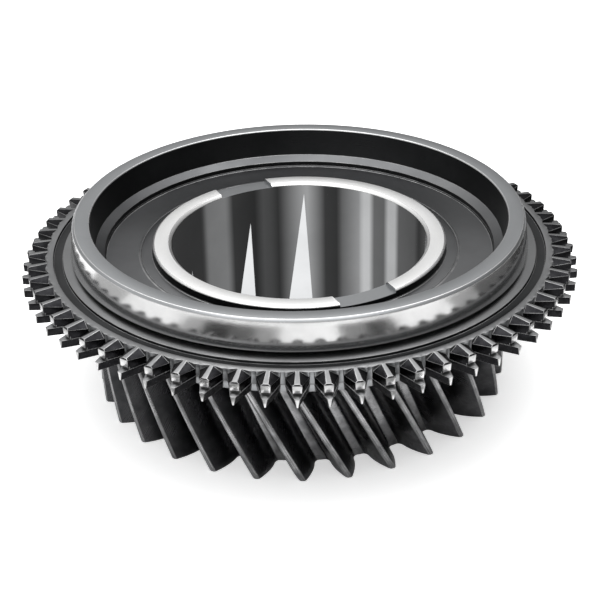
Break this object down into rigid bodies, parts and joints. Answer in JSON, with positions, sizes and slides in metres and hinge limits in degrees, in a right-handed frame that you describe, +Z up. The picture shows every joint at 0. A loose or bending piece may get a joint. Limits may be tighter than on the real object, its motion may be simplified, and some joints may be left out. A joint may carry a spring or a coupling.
{
  "type": "transmission speed gear",
  "caption": "Helical speed gear of a gearbox main shaft with pointed dog teeth, a hollow synchroniser friction cone, a dished web and a plain bore for a needle bearing.",
  "frame": {"origin": "centre of the gear wheel's flat bottom face, on the bore's axis", "axes": "+Z up along the bore, from the helical teeth towards the friction cone"},
  "size_m": [0.2025, 0.2026, 0.0662],
  "materials": {
    "gear_steel": "case-hardened steel, ground tooth flanks, bore and hub face",
    "clutch_steel": "case-hardened steel, finely turned, with a ground friction cone"
  },
  "bodies": {
    "root": {"gear_wheel": "gear_steel", "clutch_body": "clutch_steel"}
  },
  "joints": []
}
